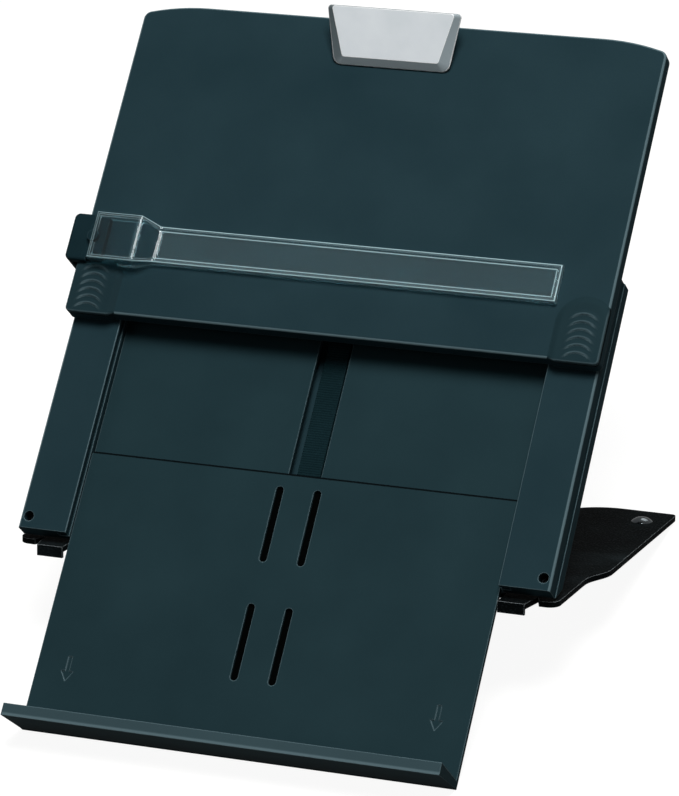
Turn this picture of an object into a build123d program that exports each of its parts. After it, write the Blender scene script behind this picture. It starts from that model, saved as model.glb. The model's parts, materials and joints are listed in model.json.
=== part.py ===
from build123d import *
import math
import os

# Desktop document holder, millimetres. X is across the holder, +Y to its back, +Z up.
# Every piece but the stand is drawn in the holder's own slope: x across, v up the slope
# from the base frame's lower edge, and a height above the base frame's back.

# Widths: the panel's half width leads, and the rest is set in or out from it
panel_half = 148.0
rail_inset = 1.7
shell_inset = 1.2
rail_width = 27.3
stand_spread = 7.5

# Heights above the base frame's back
shell_depth = 10.0
rail_depth = 10.0
floor_wall = 2.2
plate_thickness = 2.5
plate_sink = 2.0
shelf_gap = 0.5
shelf_thickness = 2.8
panel_gap = 0.4
panel_skirt = 8.1
panel_wall = 2.5

# Lengths up the slope
base_length = 174.0
panel_length = 183.0
panel_overlap = 52.8
shelf_top = 48.5
shelf_length = 150.4
lip_base = 4.1
lip_rim = 6.6
lip_height = 28.0

# Small fits shared by many pieces
clear = 0.3
slide_gap = 0.35
cut_over = 1.0

# Panel outline
top_bend_run = 32.5
top_corner_run = 3.5
top_bend_drop = 4.4
foot_corner = 2.5
foot_drop = 1.2
foot_gap = 2.0
foot_slant = 3.0
panel_edge_round = 1.7
cover_ledge = 3.0
pocket_wall = 6.0
cover_thickness = 2.1
cover_emboss_inset = 24.0
cover_emboss = 0.8
cover_emboss_round = 10.0
panel_boss_r = 4.0
panel_screw_r = 1.4
panel_screw_head_r = 2.8
panel_screw_head = 1.4
panel_screw_length = 6.0
screw_column_inset = 30.0
screw_row_inset = 22.0

# Thumb grips in the panel's lower corners
grip_inset = 12.0
grip_pad_half = 11.6
grip_pad_top = 32.0
grip_rise = 0.6
rib_count = 6
rib_pitch = 4.3
rib_first = 4.2
rib_half = 7.5
rib_sag = 3.7
rib_width = 1.3
rib_rise = 0.7

# Runners that hold the panel on the rails
runner_leg = 2.6
runner_slack = 0.4
runner_end_gap = 0.5
runner_low = 6.0
runner_length = 46.0
glide_width = 8.0
glide_inset = 11.0
glide_gap = 0.1

# Rails
rail_lip = 2.6
rail_groove_height = 3.4
rail_groove = 5.4
rail_edge_round = 1.8
rail_inner_round = 0.6
rail_screw_inset = 4.7
rail_screw_v = 6.6
rail_bore_r = 2.75
rail_bore_depth = 7.0
rail_screw_r = 1.5
rail_screw_head_r = 2.5
rail_screw_head = 1.8
rail_screw_length = 7.4

# Back shell and what stands in it
shell_round = 2.4
shell_wall = 2.6
shell_bevel = 10.0
channel_gap = 0.5
channel_wall = 2.0
rib_wall = 1.8
shell_rib_count = 4
shell_rib_spacing = 53.0
track_gap = 0.6
track_thickness = 3.8
track_notch_pitch = 6.0
track_notch_width = 1.6
track_notch_depth = 0.8

# Shelf
shelf_gap_side = 0.7
shelf_corner = 2.0
slot_x = 10.4
slot_width = 4.2
slot_length = 42.0
slot_first = 7.4
slot_second = 72.4
hook_top_inset = 4.0
hook_length = 24.0
hook_stem_half = 8.7
hook_flange_width = 2.8
hook_flange = 2.8
hook_gap = 0.4
hook_leg = 1.6
hook_leg_rise = 1.0
hook_bridge_gap = 0.9
brake_thickness = 0.5
brake_half = 4.6
brake_bow = 0.35
arrow_inset = 17.3
arrow_drop = 113.0
arrow_shaft = 8.0
arrow_shaft_half = 1.1
arrow_head = 5.5
arrow_head_half = 3.4
arrow_sink = 0.4

# Clip: a tilted lever under a bevelled cover, measured in its own plane from the cover's foot
clip_drop = 28.0
clip_foot_gap = 0.8
clip_tilt = 27.9
clip_length = 31.4
clip_depth = 2.6
clip_top_half = 38.0
clip_foot_half = 32.5
clip_top_corner = 2.0
clip_foot_corner = 5.0
clip_face_foot = 4.6
clip_face_top_inset = 0.3
clip_face_top_half = 34.6
clip_face_foot_half = 27.0
clip_face_corner = 1.5
clip_pivot_along = 13.1
clip_pivot_under = 4.8
clip_pin_r = 1.2
clip_ear_r = 2.3
clip_ear_wall = 2.4
clip_ear_x = 17.0
lever_half = 26.0
lever_wall = 2.0
lever_foot = 5.0
lever_head_inset = 0.6
bracket_half = 27.0
bracket_drop = 18.0
bracket_sink = 1.6
bracket_slack = 0.25
bracket_screw_x = 10.0
spring_width = 18.0
spring_thickness = 0.5
spring_tip_inset = 2.7
pad_half = 26.0
pad_inset = 1.4
pad_width = 2.8

# Line guide and the slider that carries it
slider_rise = 26.8
slider_length = 27.0
slider_gap = 0.9
slider_plate = 4.1
slider_plate_reach = 21.0
slider_pocket = 2.3
slider_side = 6.0
slider_depth = 18.5
slider_round = 1.6
slider_corner = 3.0
groove_rise = 2.0
groove_width = 3.0
groove_depth = 2.6
groove_margin = 0.8
groove_top_inset = 12.0
tongue_gap = 0.25
guide_head_inset = 12.5
guide_head_flat = 28.0
guide_head_slope = 10.0
guide_head_rise = 9.0
guide_head_over = 0.2
guide_wall = 1.8
guide_lift = 0.9
guide_arm_thickness = 2.2
guide_arm_width = 21.4
guide_arm_margin = 28.5
guide_rim = 2.4
guide_rim_rise = 0.8
guide_corner = 2.0
guide_post_r = 3.2
guide_spring_thickness = 0.5

# Stand plate and its hinge
stand_angle = 54.2
hinge_v = 7.0
hinge_drop = 5.0
stand_thickness = 3.0
stand_length = 166.0
stand_front = 12.0
stand_corner_front = 18.7
stand_corner_inset = 7.1
stand_corner_width = 12.0
stand_corner_round = 6.0
tongue_gap_side = 2.4
tongue_width = 14.4
tongue_front = 27.0
tongue_flange = 3.0
tongue_flange_wall = 1.6
flare_start = 26.0
flare_end = 52.0
stand_ear_width = 30.5
stand_cut_depth = 74.0
stand_cut_round = 34.0
stand_ear_round = 3.0
lug_r = 4.2
lug_wall = 4.0
lug_inset = 48.8
knuckle_half = 5.4
washer_thickness = 0.5
washer_gap = 0.05
window_front = 10.0
window_back = 5.6
hinge_pin_r = 1.5
hinge_pin_head_r = 2.6
hinge_pin_head = 1.2
hinge_fit = 0.05
lug_fit = 0.02
foot_inset = 13.5
foot_rear = 20.0
foot_r = 8.0
foot_height = 2.0
foot_chamfer = 0.6
rivet_r = 5.8
rivet_rise = 2.4
rivet_stem_r = 2.6

# Derived widths
rail_half = panel_half - rail_inset
shell_half = panel_half - shell_inset
recess_half = rail_half - rail_width
shelf_half = recess_half - shelf_gap_side
stand_half = panel_half + stand_spread
stand_corner_half = stand_half - stand_corner_inset
stand_corner_inner = stand_corner_half - stand_corner_width
stand_ear_inner = stand_half - stand_ear_width
tongue_outer = stand_corner_inner - tongue_gap_side
tongue_inner = tongue_outer - tongue_width
top_flat_half = panel_half - top_corner_run - top_bend_run
foot_inner = recess_half + foot_gap
screw_column = panel_half - screw_column_inset
grip_x = panel_half - grip_inset
glide_x = recess_half + glide_inset
rail_screw_x = rail_half - rail_screw_inset
lug_x = shell_half - lug_inset
foot_x = stand_half - foot_inset
arrow_x = shelf_half - arrow_inset
hook_flange_half = hook_stem_half + hook_flange_width
plate_inner = hook_stem_half + slide_gap
channel_half = hook_flange_half + channel_gap
track_half = hook_stem_half - hook_leg - track_gap
shell_rib_column = recess_half - shell_rib_spacing
runner_flange = rail_groove - runner_end_gap

# Derived heights and places
rail_face = shell_depth + rail_depth
rail_lip_low = rail_face - rail_lip
rail_groove_low = rail_lip_low - rail_groove_height
runner_flange_high = rail_lip_low - runner_slack
runner_flange_low = rail_groove_low + runner_slack
plate_seat = shell_depth - plate_sink
track_top = floor_wall + track_thickness
hook_flange_high = plate_seat - hook_gap
hook_flange_low = hook_flange_high - hook_flange
hook_leg_low = floor_wall + hook_leg_rise
hook_bridge_low = track_top + hook_bridge_gap
plate_face = plate_seat + plate_thickness
shelf_back = plate_face + shelf_gap
shelf_face = shelf_back + shelf_thickness
panel_back = rail_face + panel_gap
panel_face = panel_back + panel_skirt
groove_low = panel_back + groove_rise
groove_high = groove_low + groove_width
panel_low = base_length - panel_overlap
panel_top = panel_low + panel_length
slider_low = panel_low + slider_rise
shelf_low = shelf_top - shelf_length
lip_low = shelf_low - lip_base
stand_cut_front = stand_length - stand_cut_depth
foot_back = stand_length - foot_rear

# The holder stands on the lip's lower edge and on the stand's rear edge, which sets its lean.
stand_cos = math.cos(math.radians(stand_angle))
stand_sin = math.sin(math.radians(stand_angle))
stand_half_thickness = stand_thickness / 2
rear_v = hinge_v + stand_length * stand_cos - stand_half_thickness * stand_sin
rear_w = -hinge_drop - stand_length * stand_sin - stand_half_thickness * stand_cos
lean = math.degrees(math.atan2(shelf_back - rear_w, rear_v - lip_low))
lean_cos = math.cos(math.radians(lean))
lean_sin = math.sin(math.radians(lean))
base_z = -(lip_low * lean_sin + shelf_back * lean_cos)
rim_v = shelf_low - lip_rim
rim_w = shelf_face + lip_height
front_reach = rim_v * lean_cos - rim_w * lean_sin
back_reach = panel_top * lean_cos - panel_back * lean_sin
base_y = -(front_reach + back_reach) / 2


def place(x, v, w):
    """Point of the object from its place across, up the slope and above the base's back."""
    return (x, base_y + v * lean_cos - w * lean_sin, base_z + v * lean_sin + w * lean_cos)


slope = Plane(origin=place(0, 0, 0), x_dir=(1, 0, 0), z_dir=(0, -lean_sin, lean_cos))
plate_lean = math.radians(lean - stand_angle)
stand_plane = Plane(
    origin=place(0, hinge_v, -hinge_drop),
    x_dir=(1, 0, 0),
    z_dir=(0, -math.sin(plate_lean), math.cos(plate_lean)),
)


slope_out = Axis(slope.origin, slope.z_dir)
slope_up = Axis(slope.origin, slope.y_dir)
stand_out = Axis(stand_plane.origin, stand_plane.z_dir)
stand_back = Axis(stand_plane.origin, stand_plane.y_dir)


def level(w):
    """Plane parallel to the reading face, at a height above the base's back."""
    return slope.offset(w)


def across(x):
    """Plane square to X whose axes run up the slope and out of it."""
    return Plane(origin=place(x, 0, 0), x_dir=(0, lean_cos, lean_sin), z_dir=(1, 0, 0))


def stand_level(w):
    """Plane parallel to the stand plate, at a height above its hinge axis."""
    return stand_plane.offset(w)


def stand_across(x):
    """Plane square to X whose axes run back along the stand plate and up out of it."""
    origin = stand_plane.origin + Vector(x, 0, 0)
    return Plane(origin=origin, x_dir=stand_plane.y_dir, z_dir=(1, 0, 0))


def draw_panel_outline():
    """Panel outline: a top edge that bends down at its ends, and a foot at each lower corner."""
    bend_end = 2 * math.atan2(top_bend_drop, top_bend_run)
    corner_run = panel_half - top_flat_half - top_bend_run
    corner_drop = corner_run * math.tan((bend_end + math.pi / 2) / 2)
    bend_x = top_flat_half + top_bend_run
    bend_v = panel_top - top_bend_drop
    foot_v = panel_low - foot_drop
    with BuildLine() as right_half:
        Line((0, panel_top), (top_flat_half, panel_top))
        bend = TangentArc((top_flat_half, panel_top), (bend_x, bend_v), tangent=(1, 0))
        TangentArc((bend_x, bend_v), (panel_half, bend_v - corner_drop), tangent=bend % 1)
        Line((panel_half, bend_v - corner_drop), (panel_half, foot_v + foot_corner))
        RadiusArc((panel_half, foot_v + foot_corner), (panel_half - foot_corner, foot_v), foot_corner)
        Line((panel_half - foot_corner, foot_v), (foot_inner + foot_slant, foot_v))
        Line((foot_inner + foot_slant, foot_v), (foot_inner, panel_low))
        Line((foot_inner, panel_low), (0, panel_low))
        mirror(about=Plane.YZ)
    make_face(right_half.edges())


def panel_screw_places():
    """Places of the screws that hold the panel's back cover."""
    rows = (panel_low + screw_row_inset, panel_top - screw_row_inset)
    return [(side * screw_column, v) for side in (-1, 1) for v in rows]


# Front panel: a moulded shell with a flat reading face, open at the back for its cover
with BuildPart() as front_panel:
    with BuildSketch(level(panel_back)):
        draw_panel_outline()
    extrude(amount=panel_skirt)
    face_edges = front_panel.faces().sort_by(slope_out)[-1].edges()
    fillet(face_edges, radius=panel_edge_round)
    with BuildSketch(level(panel_back)):
        draw_panel_outline()
        offset(amount=-cover_ledge, kind=Kind.INTERSECTION, mode=Mode.REPLACE)
    extrude(amount=cover_thickness, mode=Mode.SUBTRACT)
    with BuildSketch(level(panel_back)):
        draw_panel_outline()
        offset(amount=-pocket_wall, kind=Kind.INTERSECTION, mode=Mode.REPLACE)
    extrude(amount=panel_skirt - panel_wall, mode=Mode.SUBTRACT)
    with BuildSketch(level(panel_back + cover_thickness)):
        with Locations(*panel_screw_places()):
            Circle(panel_boss_r)
    extrude(amount=panel_skirt - panel_wall - cover_thickness)
    with BuildSketch(level(panel_back + cover_thickness)):
        with Locations(*panel_screw_places()):
            Circle(panel_screw_r)
    extrude(amount=panel_screw_length - cover_thickness, mode=Mode.SUBTRACT)
    # Groove for the slider's tongue along the left edge
    groove_start = slider_low - groove_margin
    groove_end = panel_top - groove_top_inset
    with BuildSketch(level(groove_low)):
        with Locations((-panel_half + groove_depth, (groove_start + groove_end) / 2)):
            Rectangle(panel_half, groove_end - groove_start, align=(Align.MAX, Align.CENTER))
    extrude(amount=groove_high - groove_low, mode=Mode.SUBTRACT)
    # Seat of the clip's bracket in the top edge
    with BuildSketch(level(panel_face)):
        with Locations((0, panel_top)):
            Rectangle(2 * bracket_half, 2 * bracket_drop)
    extrude(amount=-bracket_sink, mode=Mode.SUBTRACT)
    # Thumb grips: a domed pad with arched ribs
    for side in (-1, 1):
        with BuildSketch(level(panel_face)):
            with Locations((side * grip_x, panel_low + grip_pad_top - grip_pad_half)):
                Circle(grip_pad_half)
                Rectangle(2 * grip_pad_half, grip_pad_top - grip_pad_half - foot_corner,
                          align=(Align.CENTER, Align.MAX))
        extrude(amount=grip_rise)
        for number in range(rib_count):
            rib_v = panel_low + rib_first + number * rib_pitch
            with BuildSketch(level(panel_face + grip_rise)):
                with BuildLine():
                    ThreePointArc(
                        (side * grip_x - rib_half, rib_v - rib_sag),
                        (side * grip_x, rib_v),
                        (side * grip_x + rib_half, rib_v - rib_sag),
                    )
                trace(line_width=rib_width)
            extrude(amount=rib_rise)

# Back cover of the panel, seated on a ledge inside the skirt
with BuildPart() as panel_cover:
    with BuildSketch(level(panel_back)):
        draw_panel_outline()
        offset(amount=-cover_ledge - clear, kind=Kind.INTERSECTION, mode=Mode.REPLACE)
    extrude(amount=cover_thickness)
    with BuildSketch(level(panel_back)):
        with Locations((0, (panel_low + base_length + panel_top) / 2)):
            RectangleRounded(
                2 * (panel_half - cover_emboss_inset),
                panel_top - base_length - cover_emboss_inset,
                cover_emboss_round,
            )
    extrude(amount=cover_emboss, mode=Mode.SUBTRACT)
    with BuildSketch(level(panel_back)):
        with Locations(*panel_screw_places()):
            Circle(panel_screw_head_r + clear)
    extrude(amount=panel_screw_head, mode=Mode.SUBTRACT)
    with BuildSketch(level(panel_back)):
        with Locations(*panel_screw_places()):
            Circle(panel_screw_r + clear)
    extrude(amount=cover_thickness, mode=Mode.SUBTRACT)

with BuildPart() as panel_screws:
    with BuildSketch(level(panel_back)):
        with Locations(*panel_screw_places()):
            Circle(panel_screw_head_r)
    extrude(amount=panel_screw_head)
    with BuildSketch(level(panel_back)):
        with Locations(*panel_screw_places()):
            Circle(panel_screw_r)
    extrude(amount=panel_screw_length)

# Runners: angled feet under the panel that hook below the rails' lips
runner_outer = recess_half - clear
runner_start = panel_low + runner_low


def draw_runner(side):
    """L-shaped runner section, drawn across the slope."""
    with BuildLine() as outline:
        Polyline(
            (side * (runner_outer - runner_leg), panel_back),
            (side * (runner_outer - runner_leg), runner_flange_low),
            (side * (runner_outer + runner_flange), runner_flange_low),
            (side * (runner_outer + runner_flange), runner_flange_high),
            (side * runner_outer, runner_flange_high),
            (side * runner_outer, panel_back),
            close=True,
        )
    make_face(outline.edges())


end_plane = Plane(origin=place(0, runner_start, 0), x_dir=(1, 0, 0), z_dir=-slope.y_dir)

with BuildPart() as panel_runner_left:
    with BuildSketch(end_plane):
        draw_runner(-1)
    extrude(amount=-runner_length)

with BuildPart() as panel_runner_right:
    with BuildSketch(end_plane):
        draw_runner(1)
    extrude(amount=-runner_length)

# Low-friction strips between the panel and the rails
with BuildPart() as panel_glides:
    with BuildSketch(level(panel_back)):
        for side in (-1, 1):
            with Locations((side * glide_x, runner_start + runner_length / 2)):
                Rectangle(glide_width, runner_length)
    extrude(amount=-(panel_gap - glide_gap))


def make_rail_sketch(side):
    """Rail outline seen square to the slope."""
    with Locations((side * (recess_half + rail_half) / 2, base_length / 2)):
        Rectangle(rail_half - recess_half, base_length)


def cut_rail_bores(side):
    """Screw bores at the rail's two outer corners."""
    for v in (rail_screw_v, base_length - rail_screw_v):
        with Locations((side * rail_screw_x, v)):
            Circle(rail_bore_r)


def rail_outer_edges(part, side):
    """Long front edges of a rail: the outer one and the inner one."""
    face = part.faces().sort_by(slope_out)[-1]
    long_edges = face.edges().sort_by(SortBy.LENGTH)[-2:]
    ordered = sorted(long_edges, key=lambda edge: side * edge.center().X)
    return ordered[1], ordered[0]


with BuildPart() as left_rail:
    with BuildSketch(level(shell_depth)):
        make_rail_sketch(-1)
    extrude(amount=rail_depth)
    outer_edge, inner_edge = rail_outer_edges(left_rail, -1)
    fillet(outer_edge, radius=rail_edge_round)
    fillet(rail_outer_edges(left_rail, -1)[1], radius=rail_inner_round)
    with BuildSketch(level(rail_groove_low)):
        with Locations((-recess_half, base_length / 2)):
            Rectangle(2 * rail_groove, base_length + cut_over)
    extrude(amount=rail_lip_low - rail_groove_low, mode=Mode.SUBTRACT)
    with BuildSketch(level(rail_face)):
        cut_rail_bores(-1)
    extrude(amount=-rail_bore_depth, mode=Mode.SUBTRACT)
    with BuildSketch(level(shell_depth)):
        for v in (rail_screw_v, base_length - rail_screw_v):
            with Locations((-rail_screw_x, v)):
                Circle(rail_screw_r + clear)
    extrude(amount=rail_depth, mode=Mode.SUBTRACT)

with BuildPart() as right_rail:
    with BuildSketch(level(shell_depth)):
        make_rail_sketch(1)
    extrude(amount=rail_depth)
    outer_edge, inner_edge = rail_outer_edges(right_rail, 1)
    fillet(outer_edge, radius=rail_edge_round)
    fillet(rail_outer_edges(right_rail, 1)[1], radius=rail_inner_round)
    with BuildSketch(level(rail_groove_low)):
        with Locations((recess_half, base_length / 2)):
            Rectangle(2 * rail_groove, base_length + cut_over)
    extrude(amount=rail_lip_low - rail_groove_low, mode=Mode.SUBTRACT)
    with BuildSketch(level(rail_face)):
        cut_rail_bores(1)
    extrude(amount=-rail_bore_depth, mode=Mode.SUBTRACT)
    with BuildSketch(level(shell_depth)):
        for v in (rail_screw_v, base_length - rail_screw_v):
            with Locations((rail_screw_x, v)):
                Circle(rail_screw_r + clear)
    extrude(amount=rail_depth, mode=Mode.SUBTRACT)

# Screws sunk in the rails' bores
screw_seat = rail_face - rail_bore_depth
with BuildPart() as rail_screws:
    for side in (-1, 1):
        for v in (rail_screw_v, base_length - rail_screw_v):
            with BuildSketch(level(screw_seat)):
                with Locations((side * rail_screw_x, v)):
                    Circle(rail_screw_head_r)
            extrude(amount=rail_screw_head)
            with BuildSketch(level(screw_seat)):
                with Locations((side * rail_screw_x, v)):
                    Circle(rail_screw_r)
            extrude(amount=-rail_screw_length)

# Back shell: a shallow tray with a guide channel, ribs and the hinge lugs
rib_step = base_length / (shell_rib_count + 1)
rib_height = plate_seat - floor_wall
rib_inner = channel_half + channel_wall / 2
rib_outer = shell_half - shell_wall / 2
boss_inner = rail_screw_x - panel_boss_r
boss_outer = shell_half - clear
boss_low = base_length - rail_screw_v - panel_boss_r
boss_high = base_length - clear
lug_root = hinge_drop + plate_seat - panel_gap
lug_centres = [side * (lug_x + end * (knuckle_half + washer_thickness + 2 * washer_gap + lug_wall / 2))
               for side in (-1, 1) for end in (-1, 1)]

with BuildPart() as back_shell:
    with BuildSketch(across(0)):
        with BuildLine():
            Polyline(
                (0, shell_depth),
                (base_length, shell_depth),
                (base_length, shell_round),
                (base_length - shell_round, 0),
                (shell_bevel, 0),
                close=True,
            )
        make_face()
    extrude(amount=shell_half, both=True)
    shell_back = back_shell.faces().sort_by(slope_out)[0]
    chamfer(shell_back.edges().filter_by(slope_up), length=shell_round - clear)
    with BuildSketch(level(floor_wall)):
        with Locations((0, (shell_bevel + base_length) / 2)):
            Rectangle(2 * (shell_half - shell_wall), base_length - shell_bevel - 2 * shell_wall)
    extrude(amount=shell_depth, mode=Mode.SUBTRACT)
    with BuildSketch(level(floor_wall)):
        for side in (-1, 1):
            with Locations((side * (channel_half + channel_wall / 2), base_length / 2)):
                Rectangle(channel_wall, base_length - 2 * shell_bevel)
            with Locations((side * (recess_half + rib_wall / 2), base_length / 2)):
                Rectangle(rib_wall, base_length - 2 * shell_bevel)
            with Locations((side * shell_rib_column, base_length / 2)):
                Rectangle(rib_wall, base_length - 2 * shell_bevel)
            for number in range(shell_rib_count):
                with Locations((side * (rib_inner + rib_outer) / 2, (number + 1) * rib_step)):
                    Rectangle(rib_outer - rib_inner, rib_wall)
    extrude(amount=rib_height)
    # Blocks in the upper corners that carry the screws' ends
    with BuildSketch(level(floor_wall - clear)):
        for side in (-1, 1):
            with Locations((side * (boss_inner + boss_outer) / 2, (boss_low + boss_high) / 2)):
                Rectangle(boss_outer - boss_inner, boss_high - boss_low)
    extrude(amount=shell_depth - floor_wall)
    with BuildSketch(level(shell_depth)):
        for side in (-1, 1):
            for v in (rail_screw_v, base_length - rail_screw_v):
                with Locations((side * rail_screw_x, v)):
                    Circle(rail_screw_r)
    extrude(amount=-(rail_screw_length - rail_depth + rail_bore_depth), mode=Mode.SUBTRACT)
    # Relief that lets the recess plates and the shelf's hook pass the end walls
    with BuildSketch(level(plate_seat)):
        with Locations((0, base_length / 2)):
            Rectangle(2 * recess_half, base_length + cut_over)
    extrude(amount=shell_depth, mode=Mode.SUBTRACT)
    for x in lug_centres:
        with BuildSketch(across(x)):
            with Locations((hinge_v, -hinge_drop)):
                Circle(lug_r)
            with Locations((hinge_v, -hinge_drop)):
                Rectangle(2 * lug_r, lug_root, align=(Align.CENTER, Align.MIN))
        extrude(amount=lug_wall / 2, both=True)
    with BuildSketch(across(0)):
        with Locations((hinge_v, -hinge_drop)):
            Circle(hinge_pin_r + lug_fit)
    extrude(amount=shell_half, both=True, mode=Mode.SUBTRACT)


# Recess plates between the rails, one each side of the centre channel
def draw_recess_plate(side):
    """Plate outline from the channel's edge to the rail."""
    inner = side * plate_inner
    outer = side * (recess_half - clear)
    with Locations(((inner + outer) / 2, base_length / 2)):
        Rectangle(abs(outer - inner), base_length)


with BuildPart() as left_plate:
    with BuildSketch(level(plate_seat)):
        draw_recess_plate(-1)
    extrude(amount=plate_thickness)

with BuildPart() as right_plate:
    with BuildSketch(level(plate_seat)):
        draw_recess_plate(1)
    extrude(amount=plate_thickness)

# Track strip in the channel, with fine notches for the shelf's brake
track_length = base_length - 2 * shell_bevel - 2 * shell_wall
notch_count = int(track_length / track_notch_pitch) - 1
with BuildPart() as centre_track:
    with BuildSketch(level(floor_wall)):
        with Locations((0, base_length / 2)):
            Rectangle(2 * track_half, track_length)
    extrude(amount=track_top - floor_wall)
    with BuildSketch(level(track_top)):
        with GridLocations(track_notch_pitch, track_notch_pitch, 1, notch_count):
            with Locations((0, base_length / 2)):
                Rectangle(2 * track_half, track_notch_width)
    extrude(amount=-track_notch_depth, mode=Mode.SUBTRACT)

# Shelf: a flat tray with a tall lip along its lower edge
with BuildPart() as shelf:
    with BuildSketch(level(shelf_back)):
        with Locations((0, (shelf_top + lip_low) / 2)):
            Rectangle(2 * shelf_half, shelf_top - lip_low)
    extrude(amount=shelf_thickness)
    top_corners = shelf.edges().filter_by(slope_out).sort_by(slope_up)[-2:]
    fillet(top_corners, radius=shelf_corner)
    with BuildSketch(across(0)):
        with BuildLine():
            Polyline(
                (shelf_low, shelf_face),
                (shelf_low, shelf_face + lip_height),
                (shelf_low - lip_rim, shelf_face + lip_height),
                (shelf_low - lip_base, shelf_face),
                close=True,
            )
        make_face()
    extrude(amount=shelf_half, both=True)
    with BuildSketch(level(shelf_back)):
        for start in (slot_first, slot_second):
            for side in (-1, 1):
                with Locations((side * slot_x, shelf_top - start - slot_length / 2)):
                    SlotOverall(slot_length, slot_width, rotation=90)
    extrude(amount=shelf_thickness, mode=Mode.SUBTRACT)
    # Sunk arrows that point to the lip
    arrow_top = shelf_top - arrow_drop
    arrow_neck = arrow_top - arrow_shaft
    with BuildSketch(level(shelf_face)):
        for side in (-1, 1):
            with BuildLine():
                Polyline(
                    (side * arrow_x - arrow_shaft_half, arrow_top),
                    (side * arrow_x + arrow_shaft_half, arrow_top),
                    (side * arrow_x + arrow_shaft_half, arrow_neck),
                    (side * arrow_x + arrow_head_half, arrow_neck),
                    (side * arrow_x, arrow_neck - arrow_head),
                    (side * arrow_x - arrow_head_half, arrow_neck),
                    (side * arrow_x - arrow_shaft_half, arrow_neck),
                    close=True,
                )
            make_face()
    extrude(amount=-arrow_sink, mode=Mode.SUBTRACT)

# Hook under the shelf that runs in the channel below the recess plates' edges
hook_middle = shelf_top - hook_top_inset - hook_length / 2
with BuildPart() as shelf_hook:
    with BuildSketch(level(hook_flange_low)):
        with Locations((0, hook_middle)):
            Rectangle(2 * hook_flange_half, hook_length)
    extrude(amount=hook_flange_high - hook_flange_low)
    with BuildSketch(level(hook_leg_low)):
        with Locations((0, hook_middle)):
            Rectangle(2 * hook_stem_half, hook_length)
    extrude(amount=shelf_back - hook_leg_low)
    with BuildSketch(level(hook_leg_low)):
        with Locations((0, hook_middle)):
            Rectangle(2 * (hook_stem_half - hook_leg), hook_length + cut_over)
    extrude(amount=hook_bridge_low - hook_leg_low, mode=Mode.SUBTRACT)

# Bowed leaf that presses on the track and holds the shelf where it is put
brake_top = hook_bridge_low
with BuildPart() as shelf_brake:
    with BuildSketch(across(0)):
        with BuildLine():
            ThreePointArc(
                (hook_middle - hook_length / 2 + clear, brake_top - brake_thickness / 2),
                (hook_middle, brake_top - brake_thickness / 2 - brake_bow / 2),
                (hook_middle + hook_length / 2 - clear, brake_top - brake_thickness / 2),
            )
        trace(line_width=brake_thickness - brake_bow / 2)
    extrude(amount=brake_half, both=True)

# Clip plane: the back of the clip's cover, tilted so that its top stands off the panel
clip_v = panel_top - clip_drop
clip_w = panel_face + clip_foot_gap
tilt = math.radians(clip_tilt)
clip_lean = math.radians(lean) + tilt
clip_plane = Plane(
    origin=place(0, clip_v, clip_w),
    x_dir=(1, 0, 0),
    z_dir=(0, -math.sin(clip_lean), math.cos(clip_lean)),
)
pivot_v = clip_v + clip_pivot_along * math.cos(tilt) + clip_pivot_under * math.sin(tilt)
pivot_w = clip_w + clip_pivot_along * math.sin(tilt) - clip_pivot_under * math.cos(tilt)
bracket_face = panel_face - bracket_slack


def clip_across(x):
    """Plane square to X whose axes run up the clip's cover and out of it."""
    origin = clip_plane.origin + Vector(x, 0, 0)
    return Plane(origin=origin, x_dir=clip_plane.y_dir, z_dir=(1, 0, 0))


def clip_back_w(v, under):
    """Height above the base's back of a plane that lies a given depth under the clip's cover."""
    return clip_w + (v - clip_v) * math.tan(tilt) - under / math.cos(tilt)


# Clip bracket: a plate let into the panel's top edge, with two ears for the pin
with BuildPart() as clip_bracket:
    with BuildSketch(level(panel_face - bracket_sink)):
        with Locations((0, panel_top - bracket_drop / 2)):
            Rectangle(2 * (bracket_half - bracket_slack), bracket_drop - 2 * bracket_slack)
    extrude(amount=bracket_sink - bracket_slack)
    for side in (-1, 1):
        with BuildSketch(across(side * clip_ear_x)):
            with Locations((pivot_v, pivot_w)):
                Circle(clip_ear_r)
                Rectangle(2 * clip_ear_r, pivot_w - bracket_face, align=(Align.CENTER, Align.MAX))
        extrude(amount=clip_ear_wall / 2, both=True)
    with BuildSketch(across(0)):
        with Locations((pivot_v, pivot_w)):
            Circle(clip_pin_r + lug_fit)
    extrude(amount=bracket_half, both=True, mode=Mode.SUBTRACT)
    with BuildSketch(level(panel_face)):
        with Locations((-bracket_screw_x, pivot_v), (bracket_screw_x, pivot_v)):
            Circle(panel_screw_r)
    extrude(amount=-bracket_sink, mode=Mode.SUBTRACT)

with BuildPart() as bracket_screws:
    for x in (-bracket_screw_x, bracket_screw_x):
        with BuildSketch(level(bracket_face)):
            with Locations((x, pivot_v)):
                Circle(panel_screw_r + clear)
        extrude(amount=rib_rise)
        with BuildSketch(level(bracket_face)):
            with Locations((x, pivot_v)):
                Circle(panel_screw_r)
        extrude(amount=-(bracket_sink - bracket_slack))


def draw_clip(foot, head, foot_half, top_half, corners):
    """Clip outline in its own plane, narrower at its foot, with its corners rounded."""
    with BuildLine() as outline:
        FilletPolyline(
            (-top_half, head),
            (top_half, head),
            (foot_half, foot),
            (-foot_half, foot),
            radius=corners,
            close=True,
        )
    make_face(outline.edges())


# Clip cover: a plate whose edges are bevelled from its broad back to its flat face
with BuildPart() as clip_cover:
    with BuildSketch(clip_plane):
        draw_clip(0, clip_length, clip_foot_half, clip_top_half,
                  [clip_top_corner, clip_top_corner, clip_foot_corner, clip_foot_corner])
    with BuildSketch(clip_plane.offset(clip_depth)):
        draw_clip(clip_face_foot, clip_length - clip_face_top_inset, clip_face_foot_half,
                  clip_face_top_half, [clip_face_corner] * 4)
    loft()

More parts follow.
